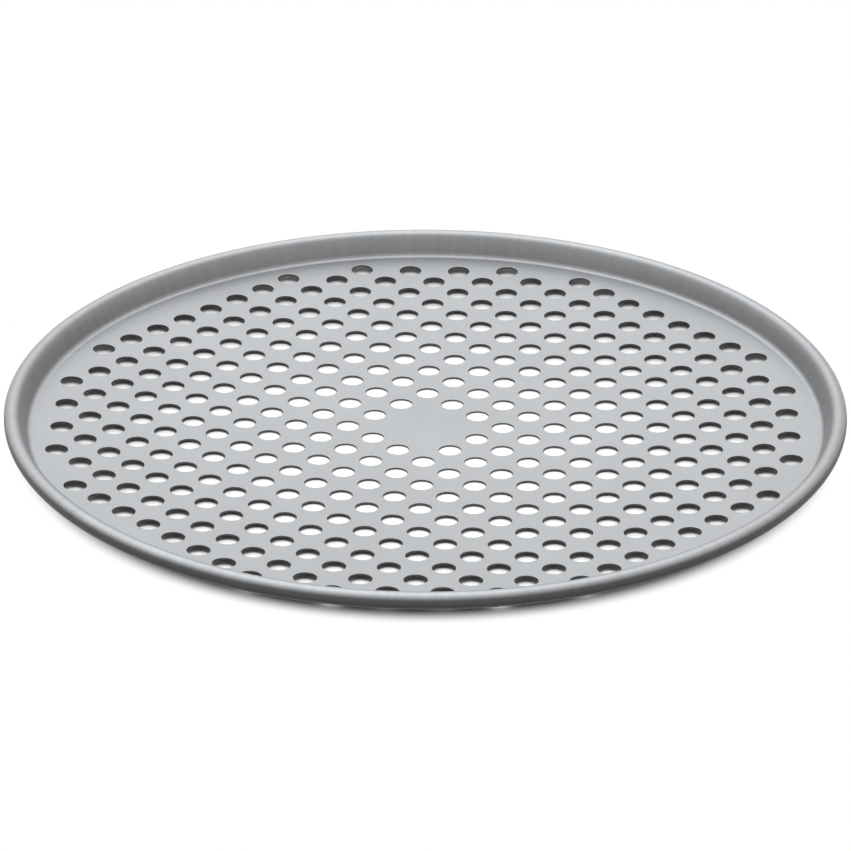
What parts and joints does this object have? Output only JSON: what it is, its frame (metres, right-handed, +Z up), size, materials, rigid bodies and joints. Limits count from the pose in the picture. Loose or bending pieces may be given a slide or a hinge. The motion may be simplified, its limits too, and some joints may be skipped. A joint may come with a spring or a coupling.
{
  "type": "perforated pizza pan",
  "caption": "Round perforated pizza pan: a slightly dished floor punched with staggered holes, a low steep wall and a rim curled over a stiffening wire.",
  "frame": {"origin": "middle of the flat seat under the floor, on the pan's axis, at the level of the surface that the pan stands on", "axes": "+Z up along the pan's axis; +X and +Y run along the staggered rows of holes, and the rim wire's butted ends are at +Y"},
  "size_m": [0.356, 0.3558, 0.015],
  "materials": {
    "coated_steel": "satin silver-grey non-stick coat with a fine metallic fleck",
    "rim_rod": "plain drawn steel rod"
  },
  "bodies": {
    "root": {"pan_sheet": "coated_steel", "rim_wire": "rim_rod"}
  },
  "joints": []
}
